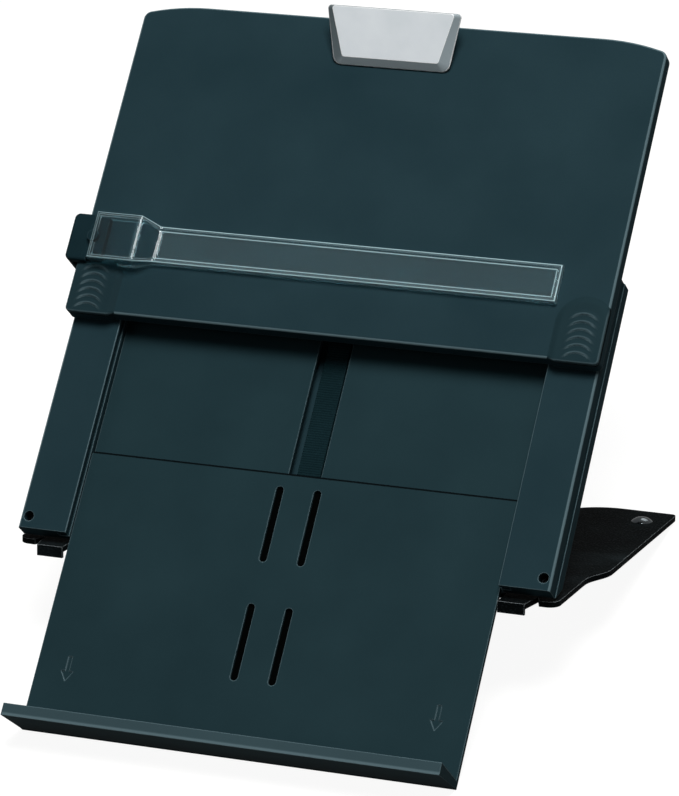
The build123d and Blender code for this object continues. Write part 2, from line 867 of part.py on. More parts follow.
# Lever under the cover, with ears outside the bracket's
lever_head = clip_length - lever_head_inset
lever_ear_x = clip_ear_x + clip_ear_wall + clear
with BuildPart() as clip_lever:
    with BuildSketch(clip_plane):
        with Locations((0, lever_foot)):
            Rectangle(2 * lever_half, lever_head - lever_foot, align=(Align.CENTER, Align.MIN))
    extrude(amount=-lever_wall)
    for side in (-1, 1):
        with BuildSketch(clip_across(side * lever_ear_x)):
            with Locations((clip_pivot_along, -clip_pivot_under)):
                Circle(clip_ear_r)
                Rectangle(2 * clip_ear_r, clip_pivot_under - lever_wall,
                          align=(Align.CENTER, Align.MIN))
        extrude(amount=clip_ear_wall / 2, both=True)
    with BuildSketch(clip_across(0)):
        with Locations((clip_pivot_along, -clip_pivot_under)):
            Circle(clip_pin_r + hinge_fit)
    extrude(amount=lever_half, both=True, mode=Mode.SUBTRACT)

with BuildPart() as clip_pin:
    with BuildSketch(across(-lever_ear_x - clip_ear_wall)):
        with Locations((pivot_v, pivot_w)):
            Circle(clip_pin_r)
    extrude(amount=2 * (lever_ear_x + clip_ear_wall))

# Rubber pad under the cover's foot, which presses the sheet to the panel
pad_low = clip_v + pad_inset
pad_high = pad_low + pad_width
with BuildPart() as clip_pad:
    with BuildSketch(across(0)):
        with BuildLine():
            Polyline(
                (pad_low, panel_face + clear),
                (pad_high, panel_face + clear),
                (pad_high, clip_back_w(pad_high, 0)),
                (pad_low, clip_back_w(pad_low, 0)),
                close=True,
            )
        make_face()
    extrude(amount=pad_half, both=True)

# V-shaped leaf between the bracket and the lever's upper end, which keeps the clip shut
spring_root = pivot_v + clip_ear_r + 2 * clear
spring_tip = panel_top - spring_tip_inset
with BuildPart() as clip_spring:
    with BuildSketch(across(0)):
        with BuildLine():
            FilletPolyline(
                (spring_tip, bracket_face + spring_thickness / 2),
                (spring_root, bracket_face + spring_thickness / 2),
                (spring_tip, clip_back_w(spring_tip, lever_wall + spring_thickness)),
                radius=spring_thickness,
            )
        trace(line_width=spring_thickness)
    extrude(amount=spring_width / 2, both=True)

# Slider: a block that wraps the panel's left edge, with a tongue in the edge's groove
slider_inner = -(panel_half + clear + panel_gap / 2)
slider_outer = slider_inner - slider_side
pocket_side = slider_inner - slider_pocket
slider_plate_low = panel_face + slider_gap
slider_plate_high = slider_plate_low + slider_plate
slider_end = slider_outer + slider_plate_reach
slider_plane = Plane(origin=place(0, slider_low, 0), x_dir=(1, 0, 0), z_dir=-slope.y_dir)
tongue_end = -panel_half + groove_depth - clear
arm_middle = slider_low + slider_length / 2
head_width = slider_length + 2 * guide_head_over
head_left = slider_outer + guide_head_inset
neck_half = head_width / 2 - guide_wall - clear
with BuildPart() as guide_slider:
    with BuildSketch(slider_plane):
        with BuildLine():
            Polyline(
                (slider_outer, slider_plate_high - slider_depth),
                (slider_inner, slider_plate_high - slider_depth),
                (slider_inner, groove_low + tongue_gap),
                (tongue_end, groove_low + tongue_gap),
                (tongue_end, groove_high - tongue_gap),
                (slider_inner, groove_high - tongue_gap),
                (pocket_side, groove_high - tongue_gap),
                (pocket_side, slider_plate_low),
                (slider_end, slider_plate_low),
                (slider_end, slider_plate_high),
                (slider_outer, slider_plate_high),
                close=True,
            )
        make_face()
    extrude(amount=-slider_length)
    outer_corners = guide_slider.edges().filter_by(slope_out).group_by(Axis.X)[0]
    fillet(outer_corners, radius=slider_corner)
    outer_edges = guide_slider.edges().filter_by(slope_up).group_by(Axis.X)[0]
    fillet(outer_edges, radius=slider_round)
    with BuildSketch(level(slider_plate_high)):
        with Locations((slider_end - 2 * guide_post_r, slider_low + slider_length / 2)):
            Circle(guide_post_r)
    extrude(amount=guide_head_rise + guide_lift - guide_wall - slider_gap - slider_plate)
    # Neck that fits inside the clear head
    with BuildSketch(level(slider_plate_high)):
        for end in (-1, 1):
            with Locations((head_left - clear, arm_middle + end * (neck_half + slider_length) / 2)):
                Rectangle(slider_plate_reach, slider_length - neck_half, align=(Align.MIN, Align.CENTER))
    extrude(amount=-slider_plate, mode=Mode.SUBTRACT)

# Bowed leaf between the slider and the panel's edge, which holds the guide at its line
with BuildPart() as guide_spring:
    with BuildSketch(level(groove_high + tongue_gap)):
        with BuildLine():
            ThreePointArc(
                (pocket_side + guide_spring_thickness / 2, slider_low + guide_corner),
                (-panel_half - clear - guide_spring_thickness / 2, slider_low + slider_length / 2),
                (pocket_side + guide_spring_thickness / 2, slider_low + slider_length - guide_corner),
            )
        trace(line_width=guide_spring_thickness)
    extrude(amount=panel_face - groove_high - panel_edge_round - tongue_gap)

# Clear line guide: a hollow head over the slider and a thin bar with a raised rim
guide_low = panel_face + guide_lift
guide_high = guide_low + guide_head_rise
head_right = head_left + guide_head_flat
arm_left = head_right + guide_head_slope
arm_right = panel_half - guide_arm_margin
with BuildPart() as line_guide:
    head_plane = Plane(origin=place(0, arm_middle, 0), x_dir=(1, 0, 0), z_dir=-slope.y_dir)
    with BuildSketch(head_plane):
        with BuildLine():
            Polyline(
                (head_left, guide_low),
                (head_left, guide_high),
                (head_right, guide_high),
                (arm_left, guide_low + guide_arm_thickness),
                (arm_left, guide_low),
                close=True,
            )
        make_face()
    extrude(amount=head_width / 2, both=True)
    with BuildSketch(level(guide_low)):
        with Locations((arm_left, arm_middle)):
            Rectangle(arm_right - arm_left, guide_arm_width, align=(Align.MIN, Align.CENTER))
    extrude(amount=guide_arm_thickness)
    with BuildSketch(head_plane):
        with BuildLine():
            Polyline(
                (head_left - cut_over, guide_low - cut_over),
                (head_left - cut_over, guide_high - guide_wall),
                (head_right - guide_wall / 2, guide_high - guide_wall),
                (arm_left - guide_wall, guide_low + guide_arm_thickness - cut_over),
                (arm_left - guide_wall, guide_low - cut_over),
                close=True,
            )
        make_face()
    extrude(amount=head_width / 2 - guide_wall, both=True, mode=Mode.SUBTRACT)
    with BuildSketch(level(guide_low + guide_arm_thickness)):
        with Locations((arm_left, arm_middle)):
            Rectangle(arm_right - arm_left, guide_arm_width, align=(Align.MIN, Align.CENTER))
        with Locations((arm_left - guide_rim, arm_middle)):
            Rectangle(arm_right - arm_left, guide_arm_width - 2 * guide_rim,
                      align=(Align.MIN, Align.CENTER), mode=Mode.SUBTRACT)
    extrude(amount=guide_rim_rise)


# Stand plate: a broad flat leg with two rear ears, hinged under the base frame
def draw_stand_outline():
    """Stand outline seen from above: tongues and corners in front, ears at the rear."""
    with BuildLine() as right_half:
        Polyline(
            (0, -stand_front),
            (tongue_inner, -stand_front),
            (tongue_inner, -tongue_front),
            (tongue_outer, -tongue_front),
            (stand_corner_inner, -stand_front),
            (stand_corner_inner + foot_corner, -stand_corner_front),
            (stand_corner_half - stand_corner_round, -stand_corner_front),
        )
        RadiusArc(
            (stand_corner_half - stand_corner_round, -stand_corner_front),
            (stand_corner_half, -stand_corner_front + stand_corner_round),
            -stand_corner_round,
        )
        Line((stand_corner_half, -stand_corner_front + stand_corner_round),
             (stand_corner_half, flare_start))
        Spline(
            (stand_corner_half, flare_start),
            (stand_half, flare_end),
            tangents=[(0, 1), (0, 1)],
        )
        Line((stand_half, flare_end), (stand_half, stand_length))
        Line((stand_half, stand_length), (stand_ear_inner, stand_length))
        TangentArc(
            (stand_ear_inner, stand_length),
            (stand_ear_inner - stand_cut_round, stand_length - stand_cut_round),
            tangent=(-1, 0),
        )
        Line((stand_ear_inner - stand_cut_round, stand_length - stand_cut_round),
             (stand_ear_inner - stand_cut_round, stand_cut_front + stand_cut_round))
        RadiusArc(
            (stand_ear_inner - stand_cut_round, stand_cut_front + stand_cut_round),
            (stand_ear_inner - 2 * stand_cut_round, stand_cut_front),
            stand_cut_round,
        )
        Line((stand_ear_inner - 2 * stand_cut_round, stand_cut_front), (0, stand_cut_front))
        mirror(about=Plane.YZ)
    make_face(right_half.edges())


window_width = washer_thickness + 2 * washer_gap + lug_wall + hinge_pin_head + clear
with BuildPart() as stand_plate:
    with BuildSketch(stand_level(-stand_half_thickness)):
        draw_stand_outline()
    extrude(amount=stand_thickness)
    ear_corners = stand_plate.edges().filter_by(stand_out).group_by(Axis.X)
    fillet([ear_corners[0].sort_by(stand_back)[-1],
            ear_corners[-1].sort_by(stand_back)[-1]],
           radius=stand_ear_round)
    # Turned-down front of each tongue
    with BuildSketch(stand_level(-stand_half_thickness)):
        for side in (-1, 1):
            with Locations((side * (tongue_inner + tongue_outer) / 2, -tongue_front)):
                Rectangle(tongue_outer - tongue_inner, tongue_flange_wall, align=(Align.CENTER, Align.MIN))
    extrude(amount=-tongue_flange)
    # Windows for the base frame's lugs, with a knuckle between each pair
    with BuildSketch(stand_level(-stand_half_thickness)):
        for side in (-1, 1):
            for end in (-1, 1):
                window_x = side * lug_x + end * (knuckle_half + window_width / 2)
                with Locations((window_x, (window_back - window_front) / 2)):
                    Rectangle(window_width, window_front + window_back)
    extrude(amount=stand_thickness, mode=Mode.SUBTRACT)
    for side in (-1, 1):
        with BuildSketch(stand_across(side * lug_x)):
            Circle(lug_r)
        extrude(amount=knuckle_half, both=True)
        with BuildSketch(stand_across(side * lug_x)):
            Circle(hinge_pin_r + hinge_fit)
        extrude(amount=knuckle_half, both=True, mode=Mode.SUBTRACT)
    # Holes for the rivets' stems
    with BuildSketch(stand_level(-stand_half_thickness)):
        for side in (-1, 1):
            with Locations((side * foot_x, foot_back)):
                Circle(rivet_stem_r + lug_fit)
    extrude(amount=stand_thickness, mode=Mode.SUBTRACT)

# Hinge pins, pressed into the lugs
lug_outer = knuckle_half + washer_thickness + 2 * washer_gap + lug_wall


with BuildPart() as hinge_pin_left:
    with BuildSketch(stand_across(-lug_x + lug_outer)):
        Circle(hinge_pin_r)
    extrude(amount=-2 * lug_outer)
    with BuildSketch(stand_across(-lug_x - lug_outer)):
        Circle(hinge_pin_head_r)
    extrude(amount=-hinge_pin_head)

with BuildPart() as hinge_pin_right:
    with BuildSketch(stand_across(lug_x - lug_outer)):
        Circle(hinge_pin_r)
    extrude(amount=2 * lug_outer)
    with BuildSketch(stand_across(lug_x + lug_outer)):
        Circle(hinge_pin_head_r)
    extrude(amount=hinge_pin_head)

# Spring washers between lugs and knuckles, which hold the stand at its angle
with BuildPart() as friction_washers:
    for side in (-1, 1):
        for end in (-1, 1):
            washer_x = side * lug_x + end * (knuckle_half + washer_gap)
            with BuildSketch(stand_across(washer_x)):
                Circle(lug_r)
                Circle(hinge_pin_r + clear, mode=Mode.SUBTRACT)
            extrude(amount=end * washer_thickness)

# Rubber feet under the ears and the bright rivets that hold them
with BuildPart() as stand_feet:
    for side in (-1, 1):
        with BuildSketch(stand_level(-stand_half_thickness)):
            with Locations((side * foot_x, foot_back)):
                Circle(foot_r)
        extrude(amount=-foot_height, taper=math.degrees(math.atan2(foot_chamfer, foot_height)))
        with BuildSketch(stand_level(-stand_half_thickness)):
            with Locations((side * foot_x, foot_back)):
                Circle(rivet_stem_r)
        extrude(amount=-foot_height / 2, mode=Mode.SUBTRACT)

rivet_top = stand_half_thickness + rivet_rise
with BuildPart() as foot_rivets:
    for side in (-1, 1):
        with BuildSketch(stand_across(side * foot_x)):
            with BuildLine():
                Line((foot_back, rivet_top), (foot_back, stand_half_thickness))
                Line((foot_back, stand_half_thickness), (foot_back + rivet_r, stand_half_thickness))
                TangentArc((foot_back, rivet_top), (foot_back + rivet_r, stand_half_thickness),
                           tangent=(1, 0))
            make_face()
        rivet_centre = stand_plane.from_local_coords((side * foot_x, foot_back, 0))
        revolve(axis=Axis(rivet_centre, stand_plane.z_dir))
        with BuildSketch(stand_level(stand_half_thickness)):
            with Locations((side * foot_x, foot_back)):
                Circle(rivet_stem_r)
        extrude(amount=-(stand_thickness + foot_height / 2))

PIECES = {
    "back_shell": back_shell,
    "left_rail": left_rail,
    "right_rail": right_rail,
    "rail_screws": rail_screws,
    "left_plate": left_plate,
    "right_plate": right_plate,
    "centre_track": centre_track,
    "shelf": shelf,
    "shelf_hook": shelf_hook,
    "shelf_brake": shelf_brake,
    "front_panel": front_panel,
    "panel_cover": panel_cover,
    "panel_screws": panel_screws,
    "panel_runner_left": panel_runner_left,
    "panel_runner_right": panel_runner_right,
    "panel_glides": panel_glides,
    "clip_bracket": clip_bracket,
    "bracket_screws": bracket_screws,
    "clip_cover": clip_cover,
    "clip_lever": clip_lever,
    "clip_pin": clip_pin,
    "clip_pad": clip_pad,
    "clip_spring": clip_spring,
    "guide_slider": guide_slider,
    "guide_spring": guide_spring,
    "line_guide": line_guide,
    "stand_plate": stand_plate,
    "hinge_pin_left": hinge_pin_left,
    "hinge_pin_right": hinge_pin_right,
    "friction_washers": friction_washers,
    "stand_feet": stand_feet,
    "foot_rivets": foot_rivets,
}

os.makedirs("parts", exist_ok=True)
for name, piece in PIECES.items():
    piece.part.label = name
    export_step(piece.part, f"parts/{name}.step")

whole = Compound([piece.part for piece in PIECES.values()]).bounding_box()
print("lean", round(lean, 3), "corners", whole.min, whole.max)
print("hinge axis", place(0, hinge_v, -hinge_drop))
print("clip axis", place(0, pivot_v, pivot_w))
print("reading face", place(0, (panel_low + panel_top) / 2, panel_face))
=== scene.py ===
"""Looks of the document holder: the finish of every piece, its small fittings and a plain studio.

Lengths are metres, and named sizes times MM are millimetres. X is across the holder, +Y away from the
reader and +Z up. The holder leans back, so its own pieces are placed across (x), up the slope (v) and
out of the slope (w).
"""

import json
import math

import bmesh
import bpy
import numpy as np
from mathutils import Matrix, Vector


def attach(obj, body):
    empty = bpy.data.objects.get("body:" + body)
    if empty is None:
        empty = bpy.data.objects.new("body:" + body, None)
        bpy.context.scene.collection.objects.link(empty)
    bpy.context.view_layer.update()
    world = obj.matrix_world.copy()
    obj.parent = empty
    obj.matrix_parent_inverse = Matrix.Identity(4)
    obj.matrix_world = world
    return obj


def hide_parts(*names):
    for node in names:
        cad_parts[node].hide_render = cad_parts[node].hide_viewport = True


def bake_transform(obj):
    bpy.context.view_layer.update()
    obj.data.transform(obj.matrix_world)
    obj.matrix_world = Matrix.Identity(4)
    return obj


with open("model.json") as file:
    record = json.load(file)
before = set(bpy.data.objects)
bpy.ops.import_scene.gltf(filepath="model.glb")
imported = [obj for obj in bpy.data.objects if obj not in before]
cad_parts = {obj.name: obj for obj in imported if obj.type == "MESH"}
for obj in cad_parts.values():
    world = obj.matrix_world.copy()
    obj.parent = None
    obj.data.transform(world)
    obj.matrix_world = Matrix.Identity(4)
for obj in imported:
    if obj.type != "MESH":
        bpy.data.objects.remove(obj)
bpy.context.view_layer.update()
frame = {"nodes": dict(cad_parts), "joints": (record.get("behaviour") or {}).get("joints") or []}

MM = 0.001

slide_up = next(joint["axis"] for joint in frame["joints"] if joint["name"] == "shelf_slide")
SLOPE = np.array([[1.0, 0.0, 0.0], slide_up, [0.0, -slide_up[2], slide_up[1]]])   # rows: across, up, out


def leaned(node):
    """Lowest and highest corner of a solid, measured across, up the slope and out of it."""
    mesh = frame["nodes"][node].data
    places = np.empty(3 * len(mesh.vertices))
    mesh.vertices.foreach_get("co", places)
    places = places.reshape(-1, 3) @ SLOPE.T
    return places.min(axis=0), places.max(axis=0)


# Finishes, with the painted highlights and shade laid into their colours

EDGE_ROUND = 0.35 * MM          # how soft a moulded edge looks
EDGE_HIGHLIGHT_ROUND = 1.0 * MM           # how far in from an edge the painted edge highlight reaches
LEATHER_ROUND = 0.5 * MM
PAINT_ROUND = 0.55 * MM
STEEL_ROUND = 0.2 * MM
BEVEL_SAMPLES = 6
ABS_EDGE_HIGHLIGHT = (0.975, 0.82)        # cosines between rounded and flat normal where the painted edge highlight starts and is full
PAINT_EDGE_HIGHLIGHT = (0.9985, 0.985)
BORDER_FACING = (0.985, 0.9)    # how far out of the slope a border's painted highlight starts and is full
BORDER_END = (0.2, 0.55)        # and between which it falls off again down the side
CLIP_FACING = (0.985, 0.94)     # how far a face of the clip turns before it takes the bevels' painted shade
CLIP_LEFT_SHADE = (0.1, 0.4)
ABS_PATCH = 50 * MM             # sizes of the drifts in colour
LEATHER_PATCH = 30 * MM
PAINT_PATCH = 20 * MM
STEEL_PATCH = 4 * MM
RUBBER_PATCH = 6 * MM
PAINT_FLAKE = 0.4 * MM
STEEL_MARK = 0.5 * MM
RUBBER_PIT = 0.3 * MM
HAZE_PATCH = 3 * MM
ABS_IOR = 1.53
RIM_LIGHT = 0.22                # shares of the shelf's painted highlight over its lip and at its foot
RIM_FOOT_LIGHT = 0.75
# Colour of the painted shadow on the shelf's top edge
RIM_SHADE = "#070c0e"


def linear(hex_colour):
    """Linear RGBA from an sRGB hex value, by the sRGB transfer curve."""
    srgb = np.array([int(hex_colour[i:i + 2], 16) for i in (1, 3, 5)]) / 255.0
    rgb = np.where(srgb <= 0.04045, srgb / 12.92, ((srgb + 0.055) / 1.055) ** 2.4)
    return (*rgb.tolist(), 1.0)


def fill(tree, node, sockets):
    """A node's input sockets, given values or linked to outputs."""
    for name, value in sockets.items():
        if isinstance(value, bpy.types.NodeSocket):
            tree.links.new(value, node.inputs[name])
        else:
            node.inputs[name].default_value = value


def add(tree, kind, sockets=None, **settings):
    """One node of a kind, with its settings and its input sockets."""
    made = tree.nodes.new(kind)
    for name, value in settings.items():
        setattr(made, name, value)
    fill(tree, made, sockets or {})
    return made


def start_finish(name):
    """A new material with its node tree emptied to an output and a Principled shader."""
    material = bpy.data.materials.new(name)
    material.use_nodes = True
    tree = material.node_tree
    tree.nodes.clear()
    shader = add(tree, "ShaderNodeBsdfPrincipled")
    add(tree, "ShaderNodeOutputMaterial", {"Surface": shader.outputs["BSDF"]})
    place = add(tree, "ShaderNodeTexCoord").outputs["Object"]
    return material, tree, shader, place


def soft_edges(tree, radius=EDGE_ROUND):
    """Normals that round the piece's edges by a small radius."""
    return add(tree, "ShaderNodeBevel", {"Radius": radius}, samples=BEVEL_SAMPLES).outputs["Normal"]


def noise(tree, place, size, detail=2.0):
    """A noise around a half, with patches of about the size given."""
    return add(tree, "ShaderNodeTexNoise", {"Vector": place, "Scale": 1 / size,
                                            "Detail": detail}).outputs["Fac"]


def bumped(tree, height, depth, strength, normal):
    """Normals tilted by the slopes of a height."""
    return add(tree, "ShaderNodeBump", {"Height": height, "Distance": depth, "Strength": strength,
                                        "Normal": normal}).outputs["Normal"]


def mixed(tree, share, first, second):
    """The first colour, turned into the second by a share."""
    return add(tree, "ShaderNodeMixRGB", {"Fac": share, "Color1": first, "Color2": second}).outputs["Color"]


def math_node(tree, operation, *values):
    """One arithmetic step on values."""
    return add(tree, "ShaderNodeMath", dict(enumerate(values)), operation=operation).outputs["Value"]


def ranged(tree, value, bottom, top, start=0.0, end=1.0):
    """A value's stretch from start to end, carried over to the range from bottom to top."""
    return add(tree, "ShaderNodeMapRange", {"Value": value, "From Min": start, "From Max": end,
                                            "To Min": bottom, "To Max": top}).outputs["Result"]


def eased(tree, value, start, end, top=1.0):
    """0 before the start, the top share after the end and a smooth rise between them."""
    return add(tree, "ShaderNodeMapRange", {"Value": value, "From Min": start, "From Max": end,
                                            "To Max": top}, interpolation_type="SMOOTHSTEP").outputs["Result"]


def dot(tree, vector, other):
    """How far a vector reaches along another one."""
    return add(tree, "ShaderNodeVectorMath", {0: vector, 1: other}, operation="DOT_PRODUCT").outputs["Value"]


def along(tree, vector, direction):
    """How far a vector reaches along a fixed direction."""
    return dot(tree, vector, direction.tolist())


def own_facing(tree):
    """The direction a face looks in on the piece at rest, wherever a joint has turned it."""
    flat = add(tree, "ShaderNodeNewGeometry").outputs["True Normal"]
    return add(tree, "ShaderNodeVectorTransform", {"Vector": flat}, vector_type="NORMAL",
               convert_from="WORLD", convert_to="OBJECT").outputs["Vector"]


def painted_highlight_share(tree):
    """The share of painted highlight that a piece carries in its own "painted_edge_light"."""
    return add(tree, "ShaderNodeAttribute", attribute_name="painted_edge_light").outputs["Fac"]


def painted_edge_highlights(tree, rounded, colour, edge_colour, highlight_range=ABS_EDGE_HIGHLIGHT, more=0.0):
    """Colour with a painted highlight: it turns lighter where the rounded normal leaves the flat one, at an
    edge.

    A piece's own "painted_edge_light" adds painted highlight where its edges are rounded in the mesh, and
    so does any further share that is given.
    """
    flat = add(tree, "ShaderNodeNewGeometry").outputs["True Normal"]
    # Painted highlight: full where the rounded normal has turned furthest from the flat one.
    edge_highlight = eased(tree, dot(tree, rounded, flat), *highlight_range)
    share = math_node(tree, "MAXIMUM", math_node(tree, "MAXIMUM", edge_highlight, painted_highlight_share(tree)), more)
    return mixed(tree, share, colour, linear(edge_colour))


def painted_border_highlight(tree, top):
    """A share of painted highlight on the rounded borders of the faces that look out of the slope."""
    out = along(tree, own_facing(tree), SLOPE[2])
    return math_node(tree, "MULTIPLY", eased(tree, out, *BORDER_FACING), eased(tree, out, *BORDER_END, top))


def mottle(tree, place, base, dark, light, size, grit=None):
    """Base colour that drifts between a darker and a lighter one over patches of a given size.

    A grit, where there is one, shares in the drift, so that single pits show.
    """
    patches = noise(tree, place, size, 3.0)
    if grit:
        patches = math_node(tree, "MULTIPLY", math_node(tree, "ADD", patches, grit), 0.5)
    ramp = add(tree, "ShaderNodeValToRGB", {"Fac": patches})
    ends = ramp.color_ramp.elements
    ends[0].position, ends[1].position = 0.3, 0.72
    ends[0].color, ends[1].color = linear(dark), linear(light)
    ends.new(0.5).color = linear(base)
    return ramp.outputs["Color"]


def painted_rim_highlight(tree, place, level, foot, width):
    """A share of painted highlight on what lies above a level out of the slope, and most near its foot."""
    on_rim = eased(tree, along(tree, place, SLOPE[2]), level - 0.5 * MM, level - 0.2 * MM)
    near = eased(tree, along(tree, place, SLOPE[1]), foot + width, foot + 0.3 * width, RIM_FOOT_LIGHT)
    return math_node(tree, "MULTIPLY", on_rim, math_node(tree, "MAXIMUM", near, RIM_LIGHT))


def moulded_abs(name, base, dark, light, edge, grain, depth, roughness, shine, edge_highlight=EDGE_HIGHLIGHT_ROUND, border=0.0,
                rim=None):
    """ABS from a spark-eroded mould: a fine even pitting that dulls the highlight, with a painted highlight
    at its edges.

    The grit of such a mould is about 0.15 mm; it is drawn at the grain given so that it shows. A border
    share paints a highlight on the rounded borders of faces that look out of the slope. A rim is a level
    out of the slope, two places up it and a width: above the level a painted highlight lightens the
    plastic a little, and most within that width of the lower place, while a painted shadow darkens the
    edge at the upper place.
    """
    material, tree, shader, place = start_finish(name)
    rounded = soft_edges(tree, edge_highlight)
    pits = noise(tree, place, grain, 4.0)
    more = painted_border_highlight(tree, border) if border else 0.0
    if rim:
        level, foot, top, width = rim
        more = math_node(tree, "MAXIMUM", painted_rim_highlight(tree, place, level, foot, width), more)
    colour = painted_edge_highlights(tree, rounded, mottle(tree, place, base, dark, light, ABS_PATCH, pits), edge,
                            more=more)
    if rim:
        # Painted shadow: the shelf's rounded top edge turns dark with RIM_SHADE.
        at_top = eased(tree, along(tree, place, SLOPE[1]), top - 1.2 * MM, top - 0.7 * MM)
        colour = mixed(tree, at_top, colour, linear(RIM_SHADE))
    fill(tree, shader, {"Base Color": colour, "IOR": ABS_IOR, "Specular IOR Level": shine,
                        "Roughness": ranged(tree, pits, roughness - 0.06, roughness + 0.06, 0.3, 0.7),
                        "Normal": bumped(tree, pits, depth, 0.5, rounded)})
    return material


def leather_grain_abs(name, base, dark, light, edge, cell, depth, roughness, shine):
    """Black ABS from a mould etched with leather grain: small rounded cells with creases between, their
    crests lightened as a painted highlight.
    """
    material, tree, shader, place = start_finish(name)
    rounded = soft_edges(tree, LEATHER_ROUND)
    wander = add(tree, "ShaderNodeTexNoise", {"Vector": place, "Scale": 0.6 / cell, "Detail": 2.0})
    shifted = add(tree, "ShaderNodeVectorMath", {0: wander.outputs["Color"], 1: (cell, cell, cell)},
                  operation="MULTIPLY")
    moved = add(tree, "ShaderNodeVectorMath", {0: place, 1: shifted.outputs["Vector"]}, operation="ADD")
    cells = add(tree, "ShaderNodeTexVoronoi", {"Vector": moved.outputs["Vector"], "Scale": 1 / cell},
                feature="DISTANCE_TO_EDGE")
    crease = eased(tree, cells.outputs["Distance"], 0.0, 0.35)
    height = math_node(tree, "MULTIPLY_ADD", noise(tree, place, cell / 6), 0.25, crease)
    crest = ranged(tree, height, 0.0, 0.55, 0.75, 1.2)
    # Painted highlight: the grain's crests are lightened towards the light colour.
    crest_highlighted = mixed(tree, crest, mottle(tree, place, base, dark, light, LEATHER_PATCH), linear(light))
    fill(tree, shader, {"Base Color": painted_edge_highlights(tree, rounded, crest_highlighted, edge), "IOR": ABS_IOR,
                        "Specular IOR Level": shine,
                        "Roughness": ranged(tree, crease, roughness + 0.12, roughness),
                        "Normal": bumped(tree, height, depth, 0.8, rounded)})
    return material


def widest_facing(node):
    """The direction that a solid's largest face looks in."""
    faces = frame["nodes"][node].data.polygons
    areas, normals = np.empty(len(faces)), np.empty(3 * len(faces))
    faces.foreach_get("area", areas)
    faces.foreach_get("normal", normals)
    return normals.reshape(-1, 3)[areas.argmax()]


def silver_paint(name, base, dark, light, edge, side, shadow_side):
    """Satin silver lacquer on the face of the clip; its bevels are darker as painted shade, and a painted
    highlight lightens their edges.

    The bevels are the faces that don't look the way the clip's widest face does; the one on the left has
    the darkest painted shade.
    """
    material, tree, shader, place = start_finish(name)
    rounded = soft_edges(tree, PAINT_ROUND)
    facing = own_facing(tree)
    towards = math_node(tree, "ABSOLUTE", along(tree, facing, widest_facing("clip_cover")))
    painted_left_shade = eased(tree, along(tree, facing, -SLOPE[0]), *CLIP_LEFT_SHADE)
    # Painted shade: the bevels take darker tones and the leftward ones the darkest, as if lit from the right.
    painted_bevel_shade = mixed(tree, painted_left_shade, linear(side), linear(shadow_side))
    painted = mixed(tree, eased(tree, towards, *CLIP_FACING),
                    mottle(tree, place, base, dark, light, PAINT_PATCH), painted_bevel_shade)
    flake = noise(tree, place, PAINT_FLAKE)
    fill(tree, shader, {"Base Color": painted_edge_highlights(tree, rounded, painted, edge, PAINT_EDGE_HIGHLIGHT),
                        "Roughness": ranged(tree, flake, 0.3, 0.46), "Metallic": 0.2,
                        "Normal": bumped(tree, flake, 0.02 * MM, 0.3, rounded)})
    return material


def clear_acrylic(name):
    """Moulded acrylic: clear and glossy, with a faint haze, and a painted highlight at its edges.

    Where the piece's own "painted_edge_light" is high, at its corners and rims, some of the clearness is
    traded for a pale tint that paints the light those edges catch.
    """
    material, tree, shader, place = start_finish(name)
    # Painted highlight: transmission gives way to the pale base colour where the painted edge light is high.
    fill(tree, shader, {"Base Color": linear("#b8d8de"), "IOR": 1.27, "Specular IOR Level": 0.12,
                        "Transmission Weight": ranged(tree, painted_highlight_share(tree), 0.997, 0.15),
                        "Roughness": ranged(tree, noise(tree, place, HAZE_PATCH, 3.0), 0.0, 0.04)})
    return material


def worked_steel(name, base, dark, light, roughness, stretch):
    """Steel with faint tool marks drawn out along one direction."""
    material, tree, shader, place = start_finish(name)
    drawn = add(tree, "ShaderNodeMapping", {"Vector": place, "Scale": stretch}).outputs["Vector"]
    marks = noise(tree, drawn, STEEL_MARK)
    fill(tree, shader, {"Base Color": mottle(tree, place, base, dark, light, STEEL_PATCH), "Metallic": 1.0,
                        "Roughness": ranged(tree, marks, roughness - 0.08, roughness + 0.08),
                        "Normal": bumped(tree, marks, 0.02 * MM, 0.4, soft_edges(tree, STEEL_ROUND))})
    return material


def moulded_rubber(name):
    """Soft black rubber: matt, with a dusty bloom and fine pits."""
    material, tree, shader, place = start_finish(name)
    pits = noise(tree, place, RUBBER_PIT, 3.0)
    fill(tree, shader, {"Base Color": mottle(tree, place, "#1b1c1d", "#141516", "#26282a", RUBBER_PATCH),
                        "Roughness": 0.82, "Normal": bumped(tree, pits, 0.06 * MM, 0.6, soft_edges(tree))})
    return material


shelf_low, shelf_high = leaned("shelf")
SLATE = moulded_abs("slate_abs", "#1f3238", "#1a2d33", "#24383e", "#62777d",
                    0.35 * MM, 0.03 * MM, 0.55, 0.006, border=0.7)
GRIP_SLATE = moulded_abs("grip_slate_abs", "#1c2e33", "#18282d", "#203338", "#566a70",
                         0.35 * MM, 0.03 * MM, 0.55, 0.006)
SMOOTH_SLATE = moulded_abs("smooth_slate_abs", "#1e3136", "#1a2c31", "#22363b", "#566a70",
                           0.3 * MM, 0.015 * MM, 0.5, 0.006)
SHELF_SLATE = moulded_abs("painted_rim_slate_abs", "#1e3136", "#1a2c31", "#22363b", "#5c7076",
                          0.3 * MM, 0.015 * MM, 0.5, 0.006,
                          rim=(shelf_high[2], shelf_low[1], shelf_high[1], 2.6 * MM))
COARSE_SLATE = moulded_abs("coarse_slate_abs", "#102226", "#0b1a1d", "#162b30", "#2a3d43",
                           0.7 * MM, 0.15 * MM, 0.6, 0.006, 0.3 * MM)
BLACK_ABS = moulded_abs("satin_black_abs", "#122328", "#0e1d21", "#182b31", "#44565c",
                        0.35 * MM, 0.02 * MM, 0.5, 0.006, 0.5 * MM)
